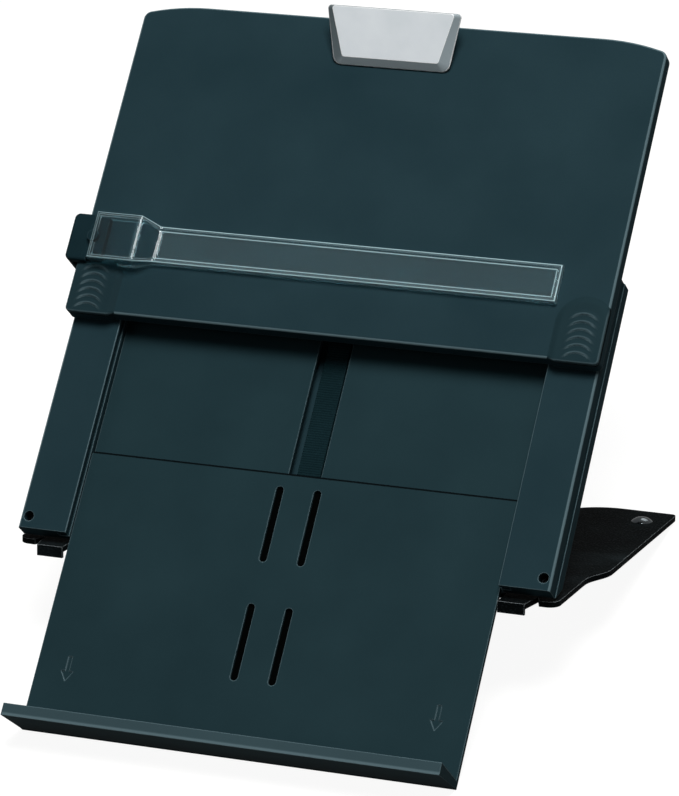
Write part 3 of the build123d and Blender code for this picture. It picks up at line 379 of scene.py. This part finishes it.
# Near black, darker than the shelf: black plastic darkened as painted shade inside the slots.
SHADE_BLACK_ABS = moulded_abs("shade_black_abs", "#020303", "#020202", "#030404", "#040505",
                             0.4 * MM, 0.02 * MM, 0.8, 0.005, 0.2 * MM)
LEATHER_ABS = leather_grain_abs("leather_grain_abs", "#070b0c", "#040607", "#161c1e", "#8a9295",
                                1.7 * MM, 0.3 * MM, 0.5, 0.01)
SILVER = silver_paint("satin_silver_paint", "#d9dfe3", "#d3dade", "#dee4e7", "#fafcfc", "#8f9ba0", "#5c686c")
ACRYLIC = clear_acrylic("clear_acrylic")
ZINC_STEEL = worked_steel("zinc_plated_steel", "#b4b6b4", "#a2a5a3", "#c6c7c4", 0.36, (1, 1, 8))
BLACK_STEEL = worked_steel("blackened_steel", "#15181a", "#0e1011", "#1f2325", 0.42, (1, 1, 4))
SPRING_STEEL = worked_steel("spring_steel", "#9fa3a5", "#8c9092", "#b0b3b4", 0.3, (6, 1, 1))
CHROME = worked_steel("polished_chrome", "#5f6568", "#55595c", "#6b7275", 0.16, (1, 1, 1))
GLIDE = moulded_abs("white_acetal", "#d9d8d0", "#d2d1c8", "#e0dfd8", "#e8e7e0",
                    0.4 * MM, 0.01 * MM, 0.3, 0.5)
RUBBER = moulded_rubber("soft_rubber")

FINISHES = {
    SLATE: ["back_shell", "left_rail", "right_rail", "front_panel", "panel_cover"],
    SMOOTH_SLATE: ["left_plate", "right_plate"],
    SHELF_SLATE: ["shelf"],
    BLACK_ABS: ["shelf_hook", "panel_runner_left", "panel_runner_right", "clip_lever", "guide_slider"],
    LEATHER_ABS: ["stand_plate"],
    SILVER: ["clip_cover"],
    ZINC_STEEL: ["clip_bracket", "bracket_screws", "clip_pin", "hinge_pin_left", "hinge_pin_right"],
    SPRING_STEEL: ["shelf_brake", "guide_spring", "friction_washers"],
    CHROME: ["foot_rivets"],
    GLIDE: ["panel_glides"],
    RUBBER: ["clip_pad", "stand_feet"],
}

for finish, names in FINISHES.items():
    for name in names:
        solid = frame["nodes"][name]
        solid.data.materials.clear()
        solid.data.materials.append(finish)


# Surfaces

MERGE_GAP = 0.001 * MM
WALL_SHARE = 0.86           # how much of a moulded wall's height is below its rounded top


def grid_faces(rows, columns, first):
    """Quads between neighbouring rows and columns of points, numbered row by row from the first."""
    corner = first + np.arange(rows - 1)[:, None] * columns + np.arange(columns - 1)
    return np.stack([corner, corner + 1, corner + columns + 1, corner + columns], axis=-1).reshape(-1, 4)


def make_piece(name, sheets, finish, body, crease=40, painted_edge_light=None):
    """A closed piece from grids of (x, v, w) points whose borders meet, turned into the holder's lean.

    Points that fall together are merged, the faces are turned outward, and edges sharper than the
    crease angle stay sharp. Painted edge light is a grid of shares of painted highlight for each sheet, from
    0 to 1.
    """
    points, faces, first = [], [], 0
    for grid in sheets:
        rows, columns = grid.shape[:2]
        points.append(grid.reshape(-1, 3) @ SLOPE)
        faces.append(grid_faces(rows, columns, first))
        first += rows * columns
    mesh = bpy.data.meshes.new(name)
    mesh.from_pydata(np.concatenate(points).tolist(), [], np.concatenate(faces).tolist())
    if painted_edge_light:
        shares = np.concatenate([grid.ravel() for grid in painted_edge_light]).astype(np.float32)
        mesh.attributes.new("painted_edge_light", "FLOAT", "POINT").data.foreach_set("value", shares)
    shape = bmesh.new()
    shape.from_mesh(mesh)
    bmesh.ops.remove_doubles(shape, verts=shape.verts, dist=MERGE_GAP)
    bmesh.ops.recalc_face_normals(shape, faces=shape.faces)
    shape.to_mesh(mesh)
    shape.free()
    mesh.shade_smooth()
    mesh.set_sharp_from_angle(angle=math.radians(crease))
    mesh.materials.append(finish)
    piece = bpy.data.objects.new(name, mesh)
    bpy.context.scene.collection.objects.link(piece)
    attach(piece, body)
    return piece


def smooth_step(value, start, end):
    """0 before the start, 1 after the end and a smooth cubic between them."""
    share = np.clip((value - start) / (end - start), 0.0, 1.0)
    return share * share * (3 - 2 * share)


def moulded_step(inset, draft, rounding):
    """How far a moulded wall has risen at an inset from its foot, from 0 to 1.

    The wall is steep over its draft, and then a quarter of an ellipse rounds it over to its top.
    """
    steep = np.clip(inset / draft, 0.0, 1.0)
    turn = np.clip((inset - draft) / rounding, 0.0, 1.0)
    return WALL_SHARE * steep + (1 - WALL_SHARE) * np.sqrt(1 - (1 - turn) ** 2)


def line_share(value, middle, half_width):
    """1 in the middle of a line and a smooth fall to 0 at its half width."""
    return 1 - smooth_step(np.abs(value - middle), 0.25 * half_width, half_width)


# Clear line guide

GUIDE_DRAFT = 0.3 * MM
GUIDE_ROUND = 0.9 * MM
GUIDE_WALL = 1.6 * MM
GUIDE_HEAD_FLAT = 28.0 * MM
GUIDE_HEAD_SLOPE = 9.5 * MM
GUIDE_HEAD_INSET = 1.8 * MM     # how far the head starts inside its solid's left end
GUIDE_ARM_WIDTH = 21.4 * MM
GUIDE_ARM_THICKNESS = 2.2 * MM
GUIDE_RIM = 2.2 * MM
GUIDE_RIM_RISE = 0.8 * MM
GUIDE_STEPS = np.array([0, 0.02, 0.1, 0.3, 0.42, 0.6, 0.8, 1.0, 1.2, 1.5, 1.6, 1.75, 1.9, 2.05, 2.2, 2.4, 2.6,
                        2.8, 2.95, 3.1, 3.25, 3.5]) * MM      # rows of points in from the outline


def make_line_guide():
    """The clear guide, a moulded tray turned over: a hollow head that narrows to a thin rimmed bar.

    At each point the inset is the distance to the nearest edge of its outline. The top is the local
    thickness times a moulded step of the inset, plus a rim where the inset is less than its width.
    The underside is the same step one wall further in, as deep as the head stands over the bar.
    """
    low, high = leaned("line_guide")
    middle = (low[1] + high[1]) / 2
    left, right = low[0] + GUIDE_HEAD_INSET, high[0]
    head_end = low[0] + GUIDE_HEAD_FLAT
    bar_start = head_end + GUIDE_HEAD_SLOPE
    inner = GUIDE_STEPS[-1] + 1.0 * MM
    x = np.concatenate([left + GUIDE_STEPS, np.linspace(left + inner, head_end, 12),
                        np.linspace(head_end, bar_start, 12)[1:],
                        np.linspace(bar_start, right - inner, 60)[1:], right - GUIDE_STEPS[::-1]])[:, None]
    half = np.interp(x, [head_end, bar_start], [(high[1] - low[1]) / 2, GUIDE_ARM_WIDTH / 2])
    thickness = np.interp(x, [head_end, bar_start], [high[2] - low[2], GUIDE_ARM_THICKNESS])
    across = np.linspace(-1, 1, 11) * (half - inner)
    offset = np.concatenate([-half + GUIDE_STEPS, across, (half - GUIDE_STEPS)[:, ::-1]], axis=1)
    inset = np.minimum(half - np.abs(offset), np.minimum(x - left, right - x))
    in_rim = 1 - smooth_step(inset, GUIDE_RIM - 0.3 * MM, GUIDE_RIM + 0.3 * MM)
    rim = GUIDE_RIM_RISE * smooth_step(x, head_end, bar_start) * in_rim
    top = (thickness + rim) * moulded_step(inset, GUIDE_DRAFT, GUIDE_ROUND)
    hollow = (thickness - GUIDE_ARM_THICKNESS) * moulded_step(inset - GUIDE_WALL, GUIDE_DRAFT, GUIDE_ROUND)
    # Shares of painted highlight: the outline, the bar rim's inner line and band, and the head's wall line
    # and kinks.
    outline = np.maximum(line_share(inset, 0.65 * MM, 0.4 * MM), 0.7 * (inset < 0.01 * MM))
    on_bar = smooth_step(x, bar_start - 1.5 * MM, bar_start)
    inner_line = line_share(inset, GUIDE_RIM + 0.75 * MM, 0.45 * MM)
    rim_band = 0.16 * (1 - smooth_step(inset, GUIDE_RIM - 0.5 * MM, GUIDE_RIM))
    wall_line = line_share(inset, GUIDE_WALL + 0.25 * MM, 0.4 * MM)
    kinks = np.maximum(line_share(x, head_end, 0.6 * MM), line_share(x, bar_start, 0.5 * MM))
    painted_bar_highlight = on_bar * np.maximum(np.maximum(rim_band, 0.6 * inner_line), 0.05)
    painted_head_highlight = 0.3 * (1 - on_bar) * np.maximum(wall_line, kinks)
    light = np.maximum(np.maximum(0.75 * outline, painted_bar_highlight), painted_head_highlight)
    wide = np.broadcast_to(x, offset.shape)
    sheets = [np.stack([wide, middle + offset, low[2] + height], axis=-1) for height in (top, hollow)]
    guide = make_piece("clear_guide", sheets, ACRYLIC, "guide", 50,
                       [light, np.zeros_like(light)])
    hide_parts("line_guide")


# Thumb grips on the panel's lower corners

GRIP_X = 136.0 * MM
GRIP_HALF = 11.6 * MM
GRIP_TOP = 32.0 * MM            # from the panel's lower edge to the top of the pad
GRIP_RISE = 1.35 * MM
GRIP_SHOULDER = 4.6 * MM
GRIP_EDGE_ROUND = 0.9 * MM
GRIP_SOLID_RISE = 1.3 * MM      # what the panel's solid already stands out here
PANEL_FOOT_DROP = 1.2 * MM      # how far the lower corners reach below the panel's lower edge
FOOT_INNER = 121.0 * MM
FOOT_SLANT = 3.0 * MM
PANEL_EDGE_ROUND = 1.7 * MM
PANEL_CORNER = 2.5 * MM
RIDGE_COUNT = 6
RIDGE_FIRST = 4.2 * MM
RIDGE_PITCH = 4.3 * MM
RIDGE_HALF = 7.5 * MM
RIDGE_SAG = 3.7 * MM
RIDGE_RISE = 0.75 * MM
RIDGE_BACK = 2.6 * MM           # how far above its crest a ridge still falls
RIDGE_FRONT = 0.5 * MM          # and below it
GRIP_WRAP = 0.03 * MM           # how far the pad stands proud of the panel's side
GRIP_SINK = 0.06 * MM           # how far the bare sheet lies below the panel's face
GRIP_BACK = 0.9 * MM            # depth of the closing sheet


def make_thumb_grip(name, side):
    """A domed pad with arched ridges over the panel's lower corner, closed by a sheet inside the panel.

    The pad is a smooth step of the distance outside its core, a strip with a round top. Each ridge
    follows a circle: its height falls slowly above the circle, steeply below it, and to nothing at the
    ends of its arc. Towards the panel's side and lower edge, whose corner is round, the surface turns
    down: the pad over its own small radius, and elsewhere just below the panel's own rounded edge.
    """
    low, high = leaned("front_panel")
    face = high[2] - GRIP_SOLID_RISE
    foot = low[1] + PANEL_FOOT_DROP
    core_top = foot + GRIP_TOP - GRIP_HALF
    outer = high[0] - GRIP_X
    rounding = np.array([1.2, 0.9, 0.7, 0.5, 0.32, 0.17, 0.05, -0.03, -0.03]) * MM
    x = np.concatenate([np.linspace(-GRIP_HALF - GRIP_SHOULDER, outer - 1.5 * MM, 70), outer - rounding])
    slant = [FOOT_INNER - GRIP_X, FOOT_INNER + FOOT_SLANT - GRIP_X]
    lower = low[1] + np.interp(x, slant, [PANEL_FOOT_DROP, 0])
    top_row = core_top + GRIP_HALF + GRIP_SHOULDER - low[1]
    rows = np.concatenate([rounding[::-1], np.linspace(1.5 * MM, top_row, 190)])[:, None]
    into_side = np.maximum(PANEL_CORNER - (outer - x), 0.0)
    into_foot = np.maximum(PANEL_CORNER - rows, 0.0)
    reach = np.hypot(into_side, into_foot)
    pull = np.minimum(1.0, (PANEL_CORNER + GRIP_WRAP) / np.maximum(reach, MERGE_GAP))
    across = np.where(into_side > 0, outer - PANEL_CORNER + into_side * pull, x)
    upward = np.where(into_foot > 0, lower + PANEL_CORNER - into_foot * pull, lower + rows)
    from_edge = PANEL_CORNER - np.minimum(reach, PANEL_CORNER + GRIP_WRAP)
    above = np.maximum(upward - core_top, 0.0)
    outside = np.maximum(np.hypot(np.minimum(across, GRIP_HALF), above) - GRIP_HALF, 0.0)
    pad = 1 - smooth_step(outside, 0.0, GRIP_SHOULDER)
    radius = (RIDGE_HALF ** 2 + RIDGE_SAG ** 2) / (2 * RIDGE_SAG)
    arc_end = math.asin(RIDGE_HALF / radius)
    ridges = np.zeros_like(across)
    crest_highlight = np.zeros_like(across)
    for number in range(RIDGE_COUNT):
        centre = foot + RIDGE_FIRST + number * RIDGE_PITCH - radius
        away = np.hypot(across, upward - centre) - radius
        turned = np.abs(np.arctan2(across, upward - centre))
        fade = 1 - smooth_step(turned, 0.5 * arc_end, 1.15 * arc_end)
        fall = np.where(away > 0, smooth_step(away, 0.0, RIDGE_BACK), smooth_step(-away, 0.0, RIDGE_FRONT))
        ridges = np.maximum(ridges, (1 - fall) * fade)
        crest_highlight = np.maximum(crest_highlight, fade * line_share(away, 0.35 * MM, 0.5 * MM))
    panel_turn = np.clip(1 - from_edge / PANEL_EDGE_ROUND, 0.0, 1.0)
    pad_turn = np.clip(1 - from_edge / GRIP_EDGE_ROUND, 0.0, 1.0)
    panel_drop = PANEL_EDGE_ROUND * (1 - np.sqrt(1 - panel_turn ** 2))
    pad_drop = GRIP_EDGE_ROUND * (1 - np.sqrt(1 - pad_turn ** 2))
    bare = -GRIP_SINK - panel_drop
    height = bare + pad * (GRIP_RISE - pad_drop - bare) + pad * (1 - pad_turn) * RIDGE_RISE * ridges
    height[:, -1] = height[0] = -PANEL_EDGE_ROUND - 0.6 * MM
    under = np.minimum(height, -GRIP_BACK)
    under[[0, -1]], under[:, [0, -1]] = height[[0, -1]], height[:, [0, -1]]
    sheets = [np.stack([side * (GRIP_X + across), upward, face + level], axis=-1)
              for level in (height, under)]
    # Painted highlight on the ridges' crests and on the pad's rounded sides.
    painted_side_highlight = 0.4 * pad * smooth_step(pad_turn, 0.05, 0.4)
    make_piece(name, sheets, GRIP_SLATE, "panel", 60,
               [np.maximum(0.35 * crest_highlight, painted_side_highlight), np.zeros_like(crest_highlight)])


# Friction track in the channel

TRACK_PITCH = 1.3 * MM
TRACK_DEPTH = 0.25 * MM
TRACK_STEPS = np.array([0, 0.1, 0.3, 0.45, 0.6]) * MM


def make_track():
    """The track under the shelf's brake: a strip whose top is a fine cosine wave along the slope."""
    low, high = leaned("centre_track")
    middle = (low[0] + high[0]) / 2
    half = (high[0] - low[0]) / 2
    x = np.concatenate([-half + TRACK_STEPS, np.linspace(-0.8, 0.8, 5) * half, half - TRACK_STEPS[::-1]])
    waves = round((high[1] - low[1]) / TRACK_PITCH)
    v = np.linspace(low[1], high[1], 8 * waves + 1)
    v = np.insert(v, [1, -1], [low[1] + 0.1 * MM, high[1] - 0.1 * MM])[:, None]
    inset = np.minimum(half - np.abs(x), np.minimum(v - low[1], high[1] - v))
    wave = TRACK_DEPTH * (0.5 - 0.5 * np.cos(2 * np.pi * waves * (v - low[1]) / (high[1] - low[1])))
    top = (high[2] - low[2] - wave) * moulded_step(inset, 0.1 * MM, 0.4 * MM)
    across = np.broadcast_to(middle + x, top.shape)
    upward = np.broadcast_to(v, top.shape)
    sheets = [np.stack([across, upward, low[2] + level], axis=-1) for level in (top, np.zeros_like(top))]
    track = make_piece("friction_track", sheets, COARSE_SLATE, "base")
    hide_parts("centre_track")


# Closed floors of the shelf's slots

SLOT_X = 10.4 * MM
SLOT_WIDTH = 4.2 * MM
SLOT_LENGTH = 42.0 * MM
SLOT_STARTS = (7.4 * MM, 72.4 * MM)     # from the shelf's top edge
SLOT_FLOOR = 0.9 * MM
RING_POINTS = 48


def turned_sheet(centre, radii, heights, straight=0.0, facing=1.0):
    """A profile of radii and heights carried round a centre, pulled apart by a straight stretch up the slope.

    Each ring is a circle whose upper half is moved up and whose lower half is moved down by half of the
    straight stretch, so that it closes into a slot's outline.
    """
    turn = np.linspace(0.0, 2 * np.pi, RING_POINTS + 1)
    turn[-1] = turn[0]
    radius = np.asarray(radii)[:, None]
    pulled = np.where(np.sin(turn + 1e-9) >= 0, straight / 2, -straight / 2)
    across = centre[0] + radius * np.cos(turn)
    upward = centre[1] + radius * np.sin(turn) + pulled
    out = centre[2] + facing * np.broadcast_to(np.asarray(heights)[:, None], across.shape)
    return np.stack([across, upward, out], axis=-1)


def make_slot_floors():
    """Thin black floors that close the shelf's four slots from below, each a profile round its slot; their
    near-black is black plastic darkened as painted shade for the slots' depth.
    """
    low, high = leaned("shelf")
    radius = SLOT_WIDTH / 2 + 0.04 * MM
    radii = np.array([0, 1, 1, 0]) * radius
    heights = np.array([1, 1, 0, 0]) * SLOT_FLOOR + 0.05 * MM
    sheets = []
    for start in SLOT_STARTS:
        for side in (-1, 1):
            centre = (side * SLOT_X, high[1] - start - SLOT_LENGTH / 2, low[2])
            sheets.append(turned_sheet(centre, radii, heights, SLOT_LENGTH - SLOT_WIDTH))
    make_piece("slot_floors", sheets, SHADE_BLACK_ABS, "shelf")


# Cross-recessed screws

RECESS_DEPTH = 0.9 * MM
RECESS_HALF = 0.42 * MM
HEAD_ROUND = 0.35 * MM


def screw_sheet(centre, head_radius, head, shank_radius, shank, facing):
    """A pan-head screw: a profile turned round its axis, with a cross sunk into the head.

    The cross is the greater of two bars, each a smooth step of the distance to its own middle line, and
    it fades towards the rim of the head.
    """
    fillet = np.linspace(0, np.pi / 2, 5)
    top = np.linspace(head_radius - HEAD_ROUND, 0.0, 18)[1:]
    radii = np.concatenate([[0, shank_radius, shank_radius, head_radius],
                            head_radius - HEAD_ROUND + HEAD_ROUND * np.cos(fillet), top])
    heights = np.concatenate([[-shank, -shank, 0, 0], head - HEAD_ROUND + HEAD_ROUND * np.sin(fillet),
                              np.full(len(top), head)])
    sheet = turned_sheet(centre, radii, heights, facing=facing)
    across, upward = np.abs(sheet[..., 0] - centre[0]), np.abs(sheet[..., 1] - centre[1])
    bars = 1 - smooth_step(np.minimum(across, upward), RECESS_HALF - 0.12 * MM, RECESS_HALF + 0.12 * MM)
    fade = 1 - smooth_step(np.hypot(across, upward), 0.5 * head_radius, 0.72 * head_radius)
    on_head = (heights > head - HEAD_ROUND / 2)[:, None]
    sheet[..., 2] -= facing * RECESS_DEPTH * bars * fade * on_head
    return sheet


def make_screws(name, node, head_radius, head, shank_radius, facing, finish, body):
    """Screws at the four corners of a solid that holds four of them."""
    low, high = leaned(node)
    seat = high[2] - head if facing > 0 else low[2] + head
    shank = high[2] - low[2] - head
    columns = (low[0] + head_radius, high[0] - head_radius)
    rows = (low[1] + head_radius, high[1] - head_radius)
    sheets = [screw_sheet((x, v, seat), head_radius, head, shank_radius, shank, facing)
              for x in columns for v in rows]
    screws = make_piece(name, sheets, finish, body)
    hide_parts(node)


make_line_guide()
make_thumb_grip("thumb_grip_left", -1)
make_thumb_grip("thumb_grip_right", 1)
make_track()
make_slot_floors()
make_screws("cover_screws", "panel_screws", 2.8 * MM, 1.4 * MM, 1.4 * MM, -1, BLACK_STEEL, "panel")
make_screws("sunk_screws", "rail_screws", 2.5 * MM, 1.8 * MM, 1.5 * MM, 1, BLACK_STEEL, "base")


# Leaf that closes the clip

def make_clip_leaf():
    """The bent leaf between bracket and lever: a copy of the clip spring's solid in spring steel, its place
    baked into the mesh.
    """
    leaf = bpy.data.objects.new("clip_leaf", frame["nodes"]["clip_spring"].data.copy())
    leaf.data.materials.clear()
    leaf.data.materials.append(SPRING_STEEL)
    bpy.context.scene.collection.objects.link(leaf)
    low, high = leaned("clip_spring")
    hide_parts("clip_spring")
    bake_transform(leaf)


make_clip_leaf()


# Studio

FLOOR_SIZE = 6.0
FLOOR_GLOW = 0.93
WORLD_LIGHT = 0.06
MIRRORED_SHARE = 0.25       # how bright the surroundings are in a reflection
WHITE = (1.0, 1.0, 1.0, 1.0)
CAMERA_PLACE = Vector((0.8015, -1.8073, 1.3044))
CAMERA_TARGET = Vector((0.0125, 0.0, 0.1233))
CAMERA_ROLL = math.radians(-6.47)
CAMERA_LENS = 235.84
SENSOR_WIDTH = 36.0


def seen_rays(tree):
    """1 on rays that see a surface straight or through glass, a share on mirrored ones, else 0."""
    rays = add(tree, "ShaderNodeLightPath").outputs
    mirrored = math_node(tree, "MULTIPLY", rays["Is Glossy Ray"], MIRRORED_SHARE)
    seen = math_node(tree, "MAXIMUM", rays["Is Camera Ray"], mirrored)
    return math_node(tree, "MAXIMUM", seen, rays["Is Transmission Ray"])


def pale_floor():
    """A wide flat floor, white where it is seen, that keeps a faint shadow."""
    half = FLOOR_SIZE / 2
    mesh = bpy.data.meshes.new("floor")
    corners = [(-half, -half, 0), (half, -half, 0), (half, half, 0), (-half, half, 0)]
    mesh.from_pydata(corners, [], [(0, 1, 2, 3)])
    floor = bpy.data.objects.new("floor", mesh)
    bpy.context.scene.collection.objects.link(floor)
    material = bpy.data.materials.new("pale_floor")
    material.use_nodes = True
    tree = material.node_tree
    tree.nodes.clear()
    matt = add(tree, "ShaderNodeBsdfDiffuse", {"Color": linear("#6a6a68")})
    glow = math_node(tree, "MULTIPLY", seen_rays(tree), FLOOR_GLOW)
    lift = add(tree, "ShaderNodeEmission", {"Color": WHITE, "Strength": glow})
    both = add(tree, "ShaderNodeAddShader", {0: matt.outputs["BSDF"], 1: lift.outputs["Emission"]})
    add(tree, "ShaderNodeOutputMaterial", {"Surface": both.outputs["Shader"]})
    floor.data.materials.append(material)


def white_surround(strength):
    """A world that is white where it is seen and a soft light to everything else."""
    world = bpy.data.worlds.new("studio")
    world.use_nodes = True
    bpy.context.scene.world = world
    tree = world.node_tree
    tree.nodes.clear()
    level = ranged(tree, seen_rays(tree), strength, 1.0)
    sky = add(tree, "ShaderNodeBackground", {"Color": WHITE, "Strength": level})
    add(tree, "ShaderNodeOutputWorld", {"Surface": sky.outputs["Background"]})


def soft_lamp(name, place, size, power):
    """A square area lamp that faces the middle of the holder."""
    data = bpy.data.lights.new(name, "AREA")
    data.shape = "SQUARE"
    data.size = size
    data.energy = power
    lamp = bpy.data.objects.new(name, data)
    lamp.location = place
    aim = CAMERA_TARGET - Vector(place)
    lamp.rotation_euler = aim.to_track_quat("-Z", "Y").to_euler()
    bpy.context.scene.collection.objects.link(lamp)


def set_camera():
    """The camera at the reader's place, turned about its own line of sight by its roll."""
    data = bpy.data.cameras.new("camera")
    data.sensor_fit = "HORIZONTAL"
    data.sensor_width = SENSOR_WIDTH
    data.lens = CAMERA_LENS
    data.clip_end = 20.0
    camera = bpy.data.objects.new("camera", data)
    look = (CAMERA_TARGET - CAMERA_PLACE).to_track_quat("-Z", "Y").to_matrix().to_4x4()
    camera.matrix_world = Matrix.Translation(CAMERA_PLACE) @ look @ Matrix.Rotation(CAMERA_ROLL, 4, "Z")
    bpy.context.scene.collection.objects.link(camera)
    bpy.context.scene.camera = camera


pale_floor()
white_surround(WORLD_LIGHT)
soft_lamp("key", (0.45, -0.45, 2.4), 1.0, 68)
soft_lamp("fill", (-1.6, -1.9, 1.6), 1.2, 4)
soft_lamp("back", (0.2, 2.2, 1.6), 1.2, 10)
set_camera()
bpy.context.scene.view_settings.view_transform = "Standard"
